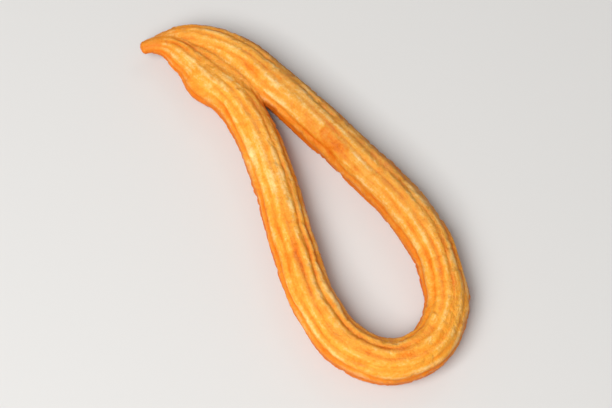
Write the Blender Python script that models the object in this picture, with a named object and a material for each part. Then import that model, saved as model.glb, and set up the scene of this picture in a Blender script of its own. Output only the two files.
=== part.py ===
"""A loop churro: one ridged strand of fried dough, bent into a teardrop whose two ends are pressed
together into a hooked point. It lies on the ground plane, its point towards +Y. Units are metres."""

import math

import bmesh
import bpy
from mathutils import Matrix, Vector

MM = 0.001

# Driving dimensions
STRAND_RADIUS = 7.2 * MM  # over the ridges
RIDGES = 12  # ridges round the strand, one for each notch of the piping nozzle
RIDGE_DEPTH = 0.15  # groove depth as a share of the radius
TWIST = math.radians(40)  # turn of the ridges round the axis, from one end to the other
FLAT_TRIM = 0.35 * MM  # crust flattened off the underside, where the strand rests
AXIS_HEIGHT = STRAND_RADIUS - FLAT_TRIM

# Fineness of the faces
POINTS_A_RIDGE = 4
STEPS_A_SPAN = 4  # rings of the strand between two points of its route

# The strand's axis seen from above, from one pressed end round to the other:
# x and y in mm, then the thickness there as a share of STRAND_RADIUS
ROUTE = (
    (-25.9, 69.2, 0.30),
    (-22.6, 68.4, 0.39),
    (-18.6, 65.6, 0.55),
    (-15.8, 59.7, 0.75),
    (-12.8, 50.7, 0.93),
    (-9.4, 40.2, 0.96),
    (-8.7, 27.7, 0.96),
    (-11.6, 7.3, 0.98),
    (-17.3, -15.8, 1.00),
    (-20.9, -37.3, 1.02),
    (-17.1, -55.3, 1.00),
    (-3.9, -64.3, 0.99),
    (11.5, -58.5, 0.98),
    (19.4, -42.8, 0.99),
    (20.6, -23.8, 1.02),
    (15.8, -0.3, 1.01),
    (9.8, 21.7, 0.99),
    (4.5, 38.7, 0.97),
    (0.4, 50.9, 0.96),
    (-7.4, 62.7, 0.76),
    (-13.4, 67.2, 0.57),
    (-20.2, 68.8, 0.36),
    (-24.6, 69.1, 0.24),
)

# The web of dough squeezed up between the two pressed ends: middle, half sizes and turn about Z
WEB_MIDDLE = Vector((-6.4 * MM, 48.7 * MM, AXIS_HEIGHT))
WEB_HALF_SIZE = Vector((7.0 * MM, 17.0 * MM, 5.0 * MM))
WEB_TURN = math.radians(18)

GROUND_SIZE = Vector((0.2, 0.3, 0.02))  # of the slab that cuts the flat


def clear_scene():
    for obj in list(bpy.data.objects):
        bpy.data.objects.remove(obj)


def new_collection(name):
    made = bpy.data.collections.new(name)
    bpy.context.scene.collection.children.link(made)
    return made


def fried_dough():
    material = bpy.data.materials.new("fried_dough")
    material.use_nodes = True
    shader = material.node_tree.nodes["Principled BSDF"]
    shader.inputs["Base Color"].default_value = (0.80, 0.36, 0.075, 1.0)
    shader.inputs["Roughness"].default_value = 0.45
    shader.inputs["Metallic"].default_value = 0.0
    return material


def ridged_outline():
    """The strand's section at radius 1: rounded crests with sharp grooves between them."""
    points = RIDGES * POINTS_A_RIDGE
    for step in range(points):
        turn = 2 * math.pi * step / points
        radius = 1 - RIDGE_DEPTH * (1 - abs(math.cos(RIDGES * turn / 2)))
        yield radius * math.cos(turn), radius * math.sin(turn)


def section_guide(collection):
    data = bpy.data.curves.new("section", "CURVE")
    data.dimensions = "2D"
    outline = list(ridged_outline())
    spline = data.splines.new("POLY")
    spline.points.add(len(outline) - 1)
    for point, (x, y) in zip(spline.points, outline):
        point.co = (x, y, 0, 1)
    spline.use_cyclic_u = True
    section = bpy.data.objects.new("section", data)
    section.hide_render = True
    collection.objects.link(section)
    return section


def strand_curve(section, collection):
    """The section swept along the route, thinning towards both ends."""
    data = bpy.data.curves.new("strand", "CURVE")
    data.dimensions = "3D"
    data.twist_mode = "Z_UP"
    data.resolution_u = STEPS_A_SPAN
    data.bevel_mode = "OBJECT"
    data.bevel_object = section
    data.use_fill_caps = True
    spline = data.splines.new("BEZIER")
    spline.bezier_points.add(len(ROUTE) - 1)
    for index, (x, y, share) in enumerate(ROUTE):
        point = spline.bezier_points[index]
        point.co = (x * MM, y * MM, AXIS_HEIGHT)
        point.radius = share * STRAND_RADIUS
        point.tilt = TWIST * (index / (len(ROUTE) - 1) - 0.5)
        point.handle_left_type = "AUTO"
        point.handle_right_type = "AUTO"
    strand = bpy.data.objects.new("strand", data)
    collection.objects.link(strand)
    return strand


def closed_mesh(curve, name, collection):
    """Turns a curve with capped ends into a closed mesh object, and removes the curve."""
    bpy.context.view_layer.update()
    evaluated = curve.evaluated_get(bpy.context.evaluated_depsgraph_get())
    mesh = bpy.data.meshes.new_from_object(evaluated)
    mesh.name = name
    shape = bmesh.new()
    shape.from_mesh(mesh)
    bmesh.ops.remove_doubles(shape, verts=shape.verts, dist=0.001 * MM)
    bmesh.ops.recalc_face_normals(shape, faces=shape.faces)
    shape.to_mesh(mesh)
    shape.free()
    made = bpy.data.objects.new(name, mesh)
    made.matrix_world = curve.matrix_world
    collection.objects.link(made)
    bpy.data.objects.remove(curve)
    return made


def helper_object(name, shape, collection):
    """Makes a Boolean's operand of a bmesh, out of the render."""
    mesh = bpy.data.meshes.new(name)
    shape.to_mesh(mesh)
    shape.free()
    made = bpy.data.objects.new(name, mesh)
    made.hide_render = True
    made.display_type = "WIRE"
    collection.objects.link(made)
    return made


def web(collection):
    place = Matrix.LocRotScale(WEB_MIDDLE, Matrix.Rotation(WEB_TURN, 3, "Z"), WEB_HALF_SIZE)
    shape = bmesh.new()
    bmesh.ops.create_uvsphere(shape, u_segments=24, v_segments=12, radius=1.0, matrix=place)
    return helper_object("web", shape, collection)


def ground(collection):
    """A slab whose top is the plane that the churro rests on."""
    place = Matrix.LocRotScale(Vector((0, 0, -GROUND_SIZE.z / 2)), None, GROUND_SIZE)
    shape = bmesh.new()
    bmesh.ops.create_cube(shape, size=1.0, matrix=place)
    return helper_object("ground", shape, collection)


def add_boolean(obj, operand, operation):
    modifier = obj.modifiers.new(operation.lower(), "BOOLEAN")
    modifier.operation = operation
    modifier.object = operand
    modifier.solver = "EXACT"
    modifier.use_self = operation == "UNION"  # the strand's two ends run into each other


clear_scene()
parts = new_collection("loop_churro")
helpers = new_collection("helpers")
strand = strand_curve(section_guide(helpers), helpers)
churro = closed_mesh(strand, "churro", parts)
churro.data.materials.append(fried_dough())
churro.data.shade_smooth()
add_boolean(churro, web(helpers), "UNION")
add_boolean(churro, ground(helpers), "DIFFERENCE")
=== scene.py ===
"""The looks of a loop churro: one piece of fused, ridged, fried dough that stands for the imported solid,
on a plain pale floor under soft studio light. Units are metres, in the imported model's frame."""

import math
import random
from typing import NamedTuple

import bmesh
import bpy
import numpy as np
from mathutils import Matrix, Vector, geometry, kdtree, noise


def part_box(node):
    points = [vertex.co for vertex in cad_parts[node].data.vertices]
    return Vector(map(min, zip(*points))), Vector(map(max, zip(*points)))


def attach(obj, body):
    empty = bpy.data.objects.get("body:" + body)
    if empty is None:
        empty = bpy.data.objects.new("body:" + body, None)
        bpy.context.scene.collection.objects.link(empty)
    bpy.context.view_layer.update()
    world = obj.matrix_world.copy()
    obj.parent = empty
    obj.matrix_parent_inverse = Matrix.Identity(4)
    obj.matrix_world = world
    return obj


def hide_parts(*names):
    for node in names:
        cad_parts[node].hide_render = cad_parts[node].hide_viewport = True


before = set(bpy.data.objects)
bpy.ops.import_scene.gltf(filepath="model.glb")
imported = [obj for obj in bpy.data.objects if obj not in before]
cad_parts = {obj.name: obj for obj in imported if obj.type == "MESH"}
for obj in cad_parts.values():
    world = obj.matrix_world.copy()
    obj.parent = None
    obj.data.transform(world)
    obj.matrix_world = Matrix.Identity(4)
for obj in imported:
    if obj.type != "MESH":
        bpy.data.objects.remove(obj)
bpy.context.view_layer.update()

MM = 0.001
LOW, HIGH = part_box("churro")

# The strand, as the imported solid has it
STRAND_RADIUS = 7.2 * MM  # over the ridges
FLAT_TRIM = 0.35 * MM  # crust flattened off the underside
AXIS_HEIGHT = LOW.z + STRAND_RADIUS - FLAT_TRIM
RIDGES = 12
TWIST = math.radians(40)

# Its axis from above: x and y in mm, then thickness as a share of STRAND_RADIUS
ROUTE = (
    (-25.9, 69.2, 0.30),
    (-22.6, 68.4, 0.39),
    (-18.6, 65.6, 0.55),
    (-15.8, 59.7, 0.75),
    (-12.8, 50.7, 0.93),
    (-9.4, 40.2, 0.96),
    (-8.7, 27.7, 0.96),
    (-11.6, 7.3, 0.98),
    (-17.3, -15.8, 1.00),
    (-20.9, -37.3, 1.02),
    (-17.1, -55.3, 1.00),
    (-3.9, -64.3, 0.99),
    (11.5, -58.5, 0.98),
    (19.4, -42.8, 0.99),
    (20.6, -23.8, 1.02),
    (15.8, -0.3, 1.01),
    (9.8, 21.7, 0.99),
    (4.5, 38.7, 0.97),
    (0.4, 50.9, 0.96),
    (-7.4, 62.7, 0.76),
    (-13.4, 67.2, 0.57),
    (-20.2, 68.8, 0.36),
    (-24.6, 69.1, 0.24),
)

# Web of dough between the two pressed ends
WEB_MIDDLE = Vector((-6.4 * MM, 48.7 * MM, AXIS_HEIGHT))
WEB_HALF_SIZE = Vector((7.0 * MM, 17.0 * MM, 5.4 * MM))
WEB_TURN = math.radians(18)

# Fineness
AXIS_STEPS = 24  # points of the axis between two points of the route
SIDES = 64  # of the plain tube, before it is remeshed
END_RINGS = 6
END_LENGTH = 0.50  # of each rounded end, as a share of its radius
VOXEL = 0.44 * MM

# The seam between the two ends
SEAM_SHARPNESS = 9.0  # how suddenly one end gives way to the other
SEAM_REACH = 1.25  # in radii from the nearer axis
SEAM_SMOOTHING = 30  # rounds of smoothing
SMOOTHED_FROM_Y = 20 * MM
FUSED_FROM_Y = 25 * MM

# Ridges
GROOVE_DEPTH = 0.64 * MM
GROOVE_ROUNDING = 0.20  # of the groove's bottom, as a share of the ridge
RIDGE_WANDER = 0.10  # radians
WANDER_LENGTH = 16 * MM
FAINTEST_RIDGE, USUAL_RIDGE, BOLDEST_RIDGE = 0.35, 0.85, 1.20  # of GROOVE_DEPTH
RIDGE_VARIETY = 0.42
VARIETY_LENGTH = 26 * MM
TOP_WEAR = 0.12  # share of the ridges lost on top of the strand
SHADED_LEG_WEAR = 0.28  # more of that on the +X leg, the one that gets painted shade

# The rest of the crust's relief
LUMP_HEIGHT = 0.26 * MM
NICK_DEPTH = 0.34 * MM
STREAK_HEIGHT = 0.08 * MM
PEBBLE_HEIGHT = 0.08 * MM
BLISTERS = 60
BLISTER_RADII = 0.7, 1.7  # mm
BLISTER_RISES = 0.10, 0.22  # of the radius

# The pinch
PRESSED = 0.88  # thickness left where fingers pressed the ends together
PRESS_START, PRESS_END = 34 * MM, 56 * MM  # along Y
THUMB = -12.5 * MM, 50.0 * MM
THUMB_RADIUS = 12 * MM
THUMB_DEPTH = 0.7 * MM
BULGE = -19.3 * MM, 46.0 * MM  # dough squeezed out beside the thumb
BULGE_RADIUS = 9.5 * MM
BULGE_RISE = 1.7 * MM

# Browning, with painted shade on the lower sides and on the +X leg
SIDE_SHADE_START, SIDE_SHADE_FULL = 0.92, 0.38  # of the strand's height, where the painted shade of the sides, a deeper colour, begins and where it is full
SHADED_LEG_X = -4 * MM, 8 * MM  # the leg on the +X side gets painted shade, a slightly darker colour
SHADED_LEG_Y = -55 * MM, -5 * MM
SPOT = 10.2 * MM, 8.5 * MM  # a browned spot on that leg's inner shoulder
SPOT_HALF_SIZE = 4.0 * MM, 8.5 * MM
SPOT_TOAST = 2.2
SPOT_RAGGEDNESS = 0.35


class Grain(NamedTuple):
    """A noise on the crust: the size of its features, its seed, and how it is stretched out along and
    round the strand, where less than 1 is longer."""

    size: float
    seed: float
    stretch: tuple = (1.0, 1.0, 1.0)


LUMPS = Grain(5 * MM, 21.0, (0.6, 1.0, 1.0))
NICKS = Grain(1.7 * MM, 41.0, (1.0, 0.7, 0.7))
STREAKS = Grain(1.1 * MM, 46.0, (0.15, 1.0, 1.0))
PEBBLES = Grain(0.95 * MM, 51.0)
TOAST = Grain(8 * MM, 61.0, (0.45, 1.0, 1.0))
BROAD_TOAST = Grain(18 * MM, 66.0, (0.45, 1.0, 1.0))
SPOT_MOTTLE = Grain(2.2 * MM, 71.0)

# The material
TONES = (  # of the crust, from browned to pale; the low end also gives painted shade in the grooves and the high end painted highlights on the crests
    (0.0, (0.58, 0.075, 0.002)),
    (0.33, (0.81, 0.205, 0.008)),
    (0.62, (0.875, 0.385, 0.041)),
    (0.95, (0.98, 0.74, 0.330)),
)
# painted shade in the grooves and painted highlights on the crests, as places on the tones
GROOVE_SHADE_TONE, CREST_HIGHLIGHT_TONE = 0.37, 0.67
PALE_TONE, TOASTED_TONE = 0.12, -0.20  # added where toast is lowest and highest
# painted shade on the lower sides: its colour and how much of it
SIDE_SHADE_COLOUR = 0.68, 0.13, 0.002, 1.0
SIDE_SHADE_SHARE = 0.85
# painted shade: multiplies the colour of the +X leg darker
SHADED_LEG_TINT = 0.86, 0.89, 1.0, 1.0
BUMP_HEIGHT = 0.20 * MM

# The studio
FLOOR_COLOUR = 0.66, 0.655, 0.645, 1.0
FLOOR_HALF_SIZE = 3.0
FLOOR_GAP = 0.05 * MM
SKY_COLOUR = 1.0, 0.96, 0.91, 1.0
SKY_STRENGTH = 0.28
VIEW_AIM = Vector((-6.7, -4.5, 0.0)) * MM  # from the middle of the box
VIEW_AZIMUTH = math.radians(36.9)  # of the camera, from -Y towards -X
VIEW_ELEVATION = math.radians(64.0)
VIEW_ROLL = math.radians(8.4)
VIEW_DISTANCE = 0.601
LENS = 112.7


def smooth_step(low, high, value):
    share = np.clip((value - low) / (high - low), 0.0, 1.0)
    return share * share * (3.0 - 2.0 * share)


def strand_axis():
    """Dense points of the axis, with the strand's radius, sideways direction and length run at each."""
    data = bpy.data.curves.new("route", "CURVE")
    data.dimensions = "3D"
    spline = data.splines.new("BEZIER")
    spline.bezier_points.add(len(ROUTE) - 1)
    for point, (x, y, _) in zip(spline.bezier_points, ROUTE):
        point.co = (x * MM, y * MM, AXIS_HEIGHT)
        point.handle_left_type = "AUTO"
        point.handle_right_type = "AUTO"
    guide = bpy.data.objects.new("route", data)
    bpy.context.scene.collection.objects.link(guide)
    bpy.context.view_layer.update()
    places = []
    knots = spline.bezier_points
    for a, b in zip(knots[:-1], knots[1:]):
        span = geometry.interpolate_bezier(a.co, a.handle_right, b.handle_left, b.co, AXIS_STEPS + 1)
        places += span[:-1]
    places.append(knots[-1].co.copy())
    bpy.data.objects.remove(guide)
    bpy.data.curves.remove(data)
    places = np.array(places)
    run = np.concatenate([[0.0], np.cumsum(np.linalg.norm(np.diff(places, axis=0), axis=1))])
    tangent = np.gradient(places, run, axis=0)
    tangent /= np.linalg.norm(tangent, axis=1)[:, None]
    side = np.cross(tangent, (0.0, 0.0, 1.0))
    radius = strand_radius(len(places))
    return {"place": places, "radius": radius, "run": run, "tangent": tangent, "side": side}


def strand_radius(count):
    """The strand's radius at each dense point of the axis, evened out along it."""
    shares = [share for _, _, share in ROUTE]
    radius = STRAND_RADIUS * np.interp(np.arange(count) / AXIS_STEPS, np.arange(len(ROUTE)), shares)
    kernel = np.hanning(AXIS_STEPS + 1)
    padded = np.pad(radius, AXIS_STEPS // 2, mode="edge")
    return np.convolve(padded, kernel / kernel.sum(), mode="valid")


def plain_tube(axis):
    """A round tube along the axis, which runs into itself where the ends are pressed together, and the
    web between them."""
    shape = bmesh.new()
    turns = np.arange(SIDES) * 2 * math.pi / SIDES
    rings = []

    def add_ring(index, radius, ahead):
        middle = axis["place"][index] + ahead * axis["tangent"][index]
        ring = []
        for turn in turns:
            across = math.cos(turn) * axis["side"][index] + math.sin(turn) * np.array((0, 0, 1))
            ring.append(shape.verts.new(middle + radius * across))
        rings.append(ring)

    def add_end(index, forward):
        radius = axis["radius"][index]
        for step in range(1, END_RINGS)[::forward]:
            bow = math.radians(90) * step / END_RINGS
            add_ring(index, radius * math.cos(bow), forward * END_LENGTH * radius * math.sin(bow))

    add_end(0, -1)
    for index, radius in enumerate(axis["radius"]):
        add_ring(index, radius, 0.0)
    add_end(len(axis["radius"]) - 1, 1)
    for one, two in zip(rings[:-1], rings[1:]):
        for index in range(SIDES):
            following = (index + 1) % SIDES
            shape.faces.new((one[index], one[following], two[following], two[index]))
    shape.faces.new(rings[0])
    shape.faces.new(rings[-1])
    place = Matrix.LocRotScale(WEB_MIDDLE, Matrix.Rotation(WEB_TURN, 3, "Z"), WEB_HALF_SIZE)
    bmesh.ops.create_uvsphere(shape, u_segments=48, v_segments=24, radius=1.0, matrix=place)
    bmesh.ops.recalc_face_normals(shape, faces=shape.faces)
    mesh = bpy.data.meshes.new("tube")
    shape.to_mesh(mesh)
    shape.free()
    return mesh


def apply_modifiers(obj):
    bpy.context.view_layer.update()
    evaluated = obj.evaluated_get(bpy.context.evaluated_depsgraph_get())
    mesh = bpy.data.meshes.new_from_object(evaluated)
    obj.modifiers.clear()
    old = obj.data
    obj.data = mesh
    bpy.data.meshes.remove(old)


def vectors(items, name):
    """A vector property of a mesh's vertices or normals, as rows."""
    found = np.empty(len(items) * 3, np.float32)
    items.foreach_get(name, found)
    return found.reshape(-1, 3).astype(float)


def noise_at(points, size, seed):
    """Smooth noise, about -1 to 1, with features of that size."""
    shift = Vector((seed, 2.3 * seed, -1.7 * seed))
    return 1.6 * np.array([noise.noise(Vector(point) / size + shift) for point in points])


def grain_at(places, grain):
    return noise_at(places * grain.stretch, grain.size, grain.seed)


def around_strand(at, length, spread):
    """Places for a noise that joins up round the strand, with features of that length along it."""
    return np.stack([at["run"] / length, spread * np.cos(at["turn"]), spread * np.sin(at["turn"])], axis=1)


def near(points, middle, half_size, full, ragged=0.0):
    """Seen from above, 1 near a place and 0 outside an ellipse round it. It is full up to that share of
    the way out, and ragged moves the edge in."""
    across = (points[:, :2] - middle) / half_size
    return smooth_step(1.0, full, np.linalg.norm(across, axis=1) + ragged)


def on_strand(axis, first, last, points):
    """Where points lie on a stretch of the strand: the length run, the angle round the axis and the
    distance from the axis in radii."""
    tree = kdtree.KDTree(last - first)
    for index in range(first, last):
        tree.insert(axis["place"][index], index)
    tree.balance()
    index = np.array([tree.find(point)[1] for point in points])
    offset = points - axis["place"][index]
    run = axis["run"][index] + np.einsum("ij,ij->i", offset, axis["tangent"][index])
    run = np.clip(run, axis["run"][first], axis["run"][last - 1])

    def along(name):
        return np.stack([np.interp(run, axis["run"], column) for column in axis[name].T], axis=1)

    offset = points - along("place")
    across = np.einsum("ij,ij->i", offset, along("side"))
    radius = np.interp(run, axis["run"], axis["radius"])
    return {
        "run": run,
        "turn": np.arctan2(offset[:, 2], across),
        "far": np.linalg.norm(offset, axis=1) / radius,
        "radius": radius,
    }


def both_ends(axis, points):
    """Places on the first and second half of the strand, and the share of the first in each point."""
    middle = len(axis["place"]) // 2
    one = on_strand(axis, 0, middle + 1, points)
    two = on_strand(axis, middle, len(axis["place"]), points)
    share = 1 / (1 + np.exp(np.clip(SEAM_SHARPNESS * (one["far"] - two["far"]), -40, 40)))
    return one, two, share


def seam_share(share):
    """1 where the two ends meet, and 0 where only one of them is."""
    return 4 * share * (1 - share)


def fused_body(axis):
    """The smooth strand with its ends grown together, as an even mesh."""
    body = bpy.data.objects.new("loop_churro", plain_tube(axis))
    bpy.context.scene.collection.objects.link(body)
    remesh = body.modifiers.new("fuse", "REMESH")
    remesh.mode = "VOXEL"
    remesh.voxel_size = VOXEL
    apply_modifiers(body)
    return body


def soften_seam(body, axis):
    points = vectors(body.data.vertices, "co")
    one, two, share = both_ends(axis, points)
    close = np.minimum(one["far"], two["far"]) < SEAM_REACH
    seam = smooth_step(0.05, 0.8, seam_share(share)) * close * (points[:, 1] > SMOOTHED_FROM_Y)
    group = body.vertex_groups.new(name="seam")
    for index in np.flatnonzero(seam > 0.01):
        group.add([int(index)], float(seam[index]), "REPLACE")
    smooth = body.modifiers.new("soften", "SMOOTH")
    smooth.vertex_group = "seam"
    smooth.factor = 0.6
    smooth.iterations = SEAM_SMOOTHING
    apply_modifiers(body)
    body.vertex_groups.clear()


def ridge_relief(at, length, seed):
    """The crest height, from 0 in a groove to 1 on a crest, of the ridges round the strand, and how bold
    they are there."""
    wander = RIDGE_WANDER * noise_at(around_strand(at, WANDER_LENGTH, 1.2), 1.0, seed)
    tilt = TWIST * (at["run"] / length - 0.5)
    beyond = np.maximum(at["far"] - 1.0, 0.0)  # over the web, ridges keep their pitch
    turn = at["turn"] - np.sign(np.cos(at["turn"])) * beyond
    phase = RIDGES * (turn + tilt + wander) / 2
    crest = np.sqrt(np.cos(phase) ** 2 + GROOVE_ROUNDING**2) - GROOVE_ROUNDING
    crest /= math.sqrt(1 + GROOVE_ROUNDING**2) - GROOVE_ROUNDING
    variety = noise_at(around_strand({**at, "turn": turn}, VARIETY_LENGTH, 1.5), 1.0, seed + 7.0)
    bold = np.clip(USUAL_RIDGE + RIDGE_VARIETY * variety, FAINTEST_RIDGE, BOLDEST_RIDGE)
    return crest, bold


def blisters(points):
    """Small domes scattered over the crust, as a height for each point."""
    tree = kdtree.KDTree(len(points))
    for index, point in enumerate(points):
        tree.insert(point, index)
    tree.balance()
    rng = random.Random(7)
    height = np.zeros(len(points))
    for _ in range(BLISTERS):
        middle = rng.randrange(len(points))
        radius = rng.uniform(*BLISTER_RADII) * MM
        rise = rng.uniform(*BLISTER_RISES) * radius
        for _, index, far in tree.find_range(points[middle], radius):
            height[index] = max(height[index], rise * (1 - (far / radius) ** 2) ** 1.5)
    return height


def crust_places(axis, points):
    """What the relief, the browning and the painted shade and highlights need to know of each point.
    Where the ends are fused, the ridges of both run into each other."""
    one, two, share = both_ends(axis, points)
    length = axis["run"][-1]
    crest_one, bold_one = ridge_relief(one, length, 3.0)
    crest_two, bold_two = ridge_relief(two, length, 11.0)
    radius = share * one["radius"] + (1 - share) * two["radius"]
    run = np.where(share > 0.5, one["run"], two["run"])
    turn = np.where(share > 0.5, one["turn"], two["turn"])
    slim = radius / STRAND_RADIUS
    seam = seam_share(share) * (points[:, 1] > FUSED_FROM_Y)
    thumb = near(points, THUMB, THUMB_RADIUS, 0.35) * (points[:, 2] > AXIS_HEIGHT)
    # the +X leg, which gets painted shade and more worn ridges
    shaded_leg = smooth_step(*SHADED_LEG_X, points[:, 0]) * smooth_step(*SHADED_LEG_Y, points[:, 1])
    bold = share * bold_one + (1 - share) * bold_two
    bold *= 1 - smooth_step(0.40, 0.95, np.sin(turn)) * (TOP_WEAR + SHADED_LEG_WEAR * shaded_leg)
    bold *= (1 - 0.45 * seam) * (1 - 0.6 * thumb) * smooth_step(0.2, 0.6, slim)
    return {
        "crest": share * crest_one + (1 - share) * crest_two,
        "bold": bold,
        "slim": slim,
        "thumb": thumb,
        "shaded_leg": shaded_leg,
        "flow": np.stack([run, radius * np.cos(turn), radius * np.sin(turn)], axis=1),
    }


def relief(points, at):
    """The height of the crust above the smooth body."""
    flow = at["flow"]
    height = -GROOVE_DEPTH * at["slim"] * at["bold"] * (1 - at["crest"])
    height += LUMP_HEIGHT * grain_at(flow, LUMPS) * at["slim"]
    height -= NICK_DEPTH * smooth_step(0.1, 0.9, grain_at(flow, NICKS)) * (0.4 + 0.6 * at["crest"])
    height += STREAK_HEIGHT * grain_at(flow, STREAKS)
    height += PEBBLE_HEIGHT * grain_at(points, PEBBLES)
    height += blisters(points) * at["slim"]
    height -= THUMB_DEPTH * at["thumb"]
    height += BULGE_RISE * near(points, BULGE, BULGE_RADIUS, 0.1)
    return height


def press(points):
    """Flattens the fused end towards the axis's height, and the underside on the ground."""
    amount = smooth_step(PRESS_START, PRESS_END, points[:, 1])
    keep = 1 - (1 - PRESSED) * amount
    points[:, 2] = AXIS_HEIGHT + (points[:, 2] - AXIS_HEIGHT) * keep
    points[:, 2] = np.maximum(points[:, 2], LOW.z)


def toast_at(points, flow):
    """How toasted the crust is, about -1 to 1, and more on the browned spot."""
    spot = near(points, SPOT, SPOT_HALF_SIZE, 0.2, SPOT_RAGGEDNESS * grain_at(points, SPOT_MOTTLE))
    toast = 0.6 * grain_at(flow, TOAST) + 0.5 * grain_at(flow, BROAD_TOAST)
    return toast + SPOT_TOAST * spot * (points[:, 2] > AXIS_HEIGHT / 2)


def add_value(mesh, name, values):
    attribute = mesh.attributes.new(name, "FLOAT", "POINT")
    attribute.data.foreach_set("value", values.astype(np.float32))


def add_vector(mesh, name, values):
    attribute = mesh.attributes.new(name, "FLOAT_VECTOR", "POINT")
    attribute.data.foreach_set("vector", values.astype(np.float32).ravel())


def crust(body, axis):
    """Raises ridges, lumps, nicks and blisters, and stores what the material needs."""
    mesh = body.data
    points = vectors(mesh.vertices, "co")
    at = crust_places(axis, points)
    points += vectors(mesh.vertex_normals, "vector") * relief(points, at)[:, None]
    press(points)
    mesh.vertices.foreach_set("co", points.astype(np.float32).ravel())
    mesh.update()
    # the crest height, which the material turns into painted shade in the grooves and painted highlights
    # on the crests
    add_value(mesh, "crest", at["crest"] * at["bold"] + 0.7 * (1 - at["bold"]))
    # painted shade: how low on the strand each point is
    add_value(mesh, "low", smooth_step(SIDE_SHADE_START, SIDE_SHADE_FULL, points[:, 2] / (2 * AXIS_HEIGHT)))
    add_value(mesh, "toast", toast_at(points, at["flow"]))
    # painted shade: where the +X leg is, for its darker colour
    add_value(mesh, "shaded_leg", at["shaded_leg"])
    add_vector(mesh, "flow", at["flow"])


def dough():
    axis = strand_axis()
    body = fused_body(axis)
    soften_seam(body, axis)
    crust(body, axis)
    body.data.shade_smooth()
    return body


class Nodes:
    """Short forms for laying out a material's nodes."""

    def __init__(self, material):
        material.use_nodes = True
        self.tree = material.node_tree
        self.shader = self.tree.nodes["Principled BSDF"]

    def new(self, kind, links=(), **settings):
        node = self.tree.nodes.new(kind)
        for name, value in settings.items():
            setattr(node, name, value)
        for socket, source in dict(links).items():
            self.feed(node.inputs[socket], source)
        return node

    def feed(self, socket, source):
        if isinstance(source, bpy.types.NodeSocket):
            self.tree.links.new(source, socket)
        else:
            socket.default_value = source

    def attribute(self, name, output="Fac"):
        return self.new("ShaderNodeAttribute", attribute_name=name).outputs[output]

    def noise(self, vector, scale, detail, roughness):
        links = {"Vector": vector, "Scale": scale, "Detail": detail, "Roughness": roughness}
        return self.new("ShaderNodeTexNoise", links).outputs["Fac"]

    def math(self, operation, one, two):
        return self.new("ShaderNodeMath", {0: one, 1: two}, operation=operation).outputs[0]

    def between(self, value, low, high, to_low=0.0, to_high=1.0):
        links = {
            "Value": value,
            "From Min": low,
            "From Max": high,
            "To Min": to_low,
            "To Max": to_high,
        }
        return self.new("ShaderNodeMapRange", links).outputs["Result"]

    def ramp(self, value, stops):
        node = self.new("ShaderNodeValToRGB", {"Fac": value})
        elements = node.color_ramp.elements
        while len(elements) < len(stops):
            elements.new(0.5)
        for element, (place, colour) in zip(elements, stops):
            element.position = place
            element.color = (*colour, 1.0)
        return node.outputs["Color"]

    def mix(self, share, one, two, blend="MIX"):
        node = self.new("ShaderNodeMix", data_type="RGBA", blend_type=blend)
        self.feed(node.inputs["Factor"], share)
        self.feed(node.inputs["A"], one)
        self.feed(node.inputs["B"], two)
        return node.outputs["Result"]


def fried_dough():
    material = bpy.data.materials.new("fried_dough")
    nodes = Nodes(material)
    flow = nodes.attribute("flow", "Vector")
    lengthwise = nodes.new("ShaderNodeVectorMath", {0: flow, 1: (0.12, 1.0, 1.0)}, operation="MULTIPLY")
    streak = nodes.noise(lengthwise.outputs[0], 900.0, 2.0, 0.5)
    grain = nodes.noise(flow, 1300.0, 4.0, 0.65)
    mottle = nodes.noise(flow, 260.0, 3.0, 0.55)

    # painted shade and highlight: the tone runs from darker in a groove to paler on a crest
    tone = nodes.between(nodes.attribute("crest"), 0.0, 1.0, GROOVE_SHADE_TONE, CREST_HIGHLIGHT_TONE)
    for value, weight in ((streak, 0.44), (grain, 0.46), (mottle, 0.50)):
        tone = nodes.math("ADD", tone, nodes.between(value, 0.0, 1.0, -weight / 2, weight / 2))
    toasted = nodes.between(nodes.attribute("toast"), -1.0, 2.0, PALE_TONE, TOASTED_TONE)
    colour = nodes.ramp(nodes.math("ADD", tone, toasted), TONES)
    # painted shade: the lower sides are mixed towards a deeper red-orange
    low = nodes.between(nodes.attribute("low"), 0.0, 1.0, 0.0, SIDE_SHADE_SHARE)
    colour = nodes.mix(low, colour, SIDE_SHADE_COLOUR)
    # painted shade: the +X leg is darkened
    colour = nodes.mix(nodes.attribute("shaded_leg"), colour, SHADED_LEG_TINT, "MULTIPLY")
    nodes.feed(nodes.shader.inputs["Base Color"], colour)
    nodes.feed(nodes.shader.inputs["Roughness"], nodes.between(mottle, 0.3, 0.7, 0.42, 0.60))
    nodes.shader.inputs["IOR"].default_value = 1.18
    nodes.shader.inputs["Subsurface Weight"].default_value = 0.15
    nodes.shader.inputs["Subsurface Radius"].default_value = (1.0, 0.40, 0.12)
    nodes.shader.inputs["Subsurface Scale"].default_value = 1.2 * MM
    nodes.shader.inputs["Coat Weight"].default_value = 0.12
    nodes.shader.inputs["Coat Roughness"].default_value = 0.24

    pits = nodes.between(nodes.noise(flow, 2100.0, 2.0, 0.5), 0.35, 0.65)
    height = nodes.math("ADD", nodes.math("MULTIPLY", pits, 0.6), nodes.math("MULTIPLY", streak, 0.7))
    bump = nodes.new("ShaderNodeBump", {"Height": height, "Strength": 0.65, "Distance": BUMP_HEIGHT})
    nodes.feed(nodes.shader.inputs["Normal"], bump.outputs["Normal"])
    nodes.feed(nodes.shader.inputs["Coat Normal"], bump.outputs["Normal"])
    return material


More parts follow.
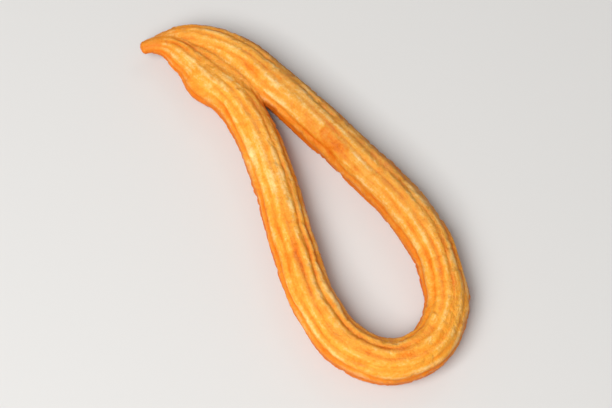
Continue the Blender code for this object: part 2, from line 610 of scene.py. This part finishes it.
def floor():
    mesh = bpy.data.meshes.new("floor")
    shape = bmesh.new()
    place = Matrix.Translation((0, 0, LOW.z - FLOOR_GAP))
    bmesh.ops.create_grid(shape, x_segments=1, y_segments=1, size=FLOOR_HALF_SIZE, matrix=place)
    shape.to_mesh(mesh)
    shape.free()
    made = bpy.data.objects.new("floor", mesh)
    bpy.context.scene.collection.objects.link(made)
    material = bpy.data.materials.new("floor")
    material.use_nodes = True
    shader = material.node_tree.nodes["Principled BSDF"]
    shader.inputs["Base Color"].default_value = FLOOR_COLOUR
    shader.inputs["Roughness"].default_value = 0.8
    mesh.materials.append(material)


def softbox(name, place, size, power):
    """A square lamp that faces the origin."""
    data = bpy.data.lights.new(name, "AREA")
    data.shape = "SQUARE"
    data.size = size
    data.energy = power
    lamp = bpy.data.objects.new(name, data)
    lamp.location = place
    lamp.rotation_euler = (-Vector(place)).to_track_quat("-Z", "Y").to_euler()
    bpy.context.scene.collection.objects.link(lamp)
    return lamp


def studio():
    scene = bpy.context.scene
    scene.view_settings.view_transform = "Standard"
    world = bpy.data.worlds.new("studio")
    world.use_nodes = True
    background = world.node_tree.nodes["Background"]
    background.inputs["Color"].default_value = SKY_COLOUR
    background.inputs["Strength"].default_value = SKY_STRENGTH
    scene.world = world
    softbox("key", (-0.68, -0.30, 0.98), 0.8, 18.2)
    sheen = softbox("sheen", (0.36, 0.30, 0.55), 0.14, 3.6)
    sheen.visible_diffuse = False


def camera():
    aim = (Vector(LOW) + Vector(HIGH)) / 2 + VIEW_AIM
    flat = math.cos(VIEW_ELEVATION) * VIEW_DISTANCE
    place = aim + Vector(
        (
            -flat * math.sin(VIEW_AZIMUTH),
            -flat * math.cos(VIEW_AZIMUTH),
            VIEW_DISTANCE * math.sin(VIEW_ELEVATION),
        )
    )
    data = bpy.data.cameras.new("camera")
    data.lens = LENS
    made = bpy.data.objects.new("camera", data)
    look = (aim - place).to_track_quat("-Z", "Y").to_matrix()
    roll = Matrix.Rotation(VIEW_ROLL, 3, "Z")
    made.matrix_world = Matrix.Translation(place) @ (look @ roll).to_4x4()
    bpy.context.scene.collection.objects.link(made)
    bpy.context.scene.camera = made


camera()
studio()
floor()
churro = dough()
churro.data.materials.append(fried_dough())
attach(churro, "root")
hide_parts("churro")
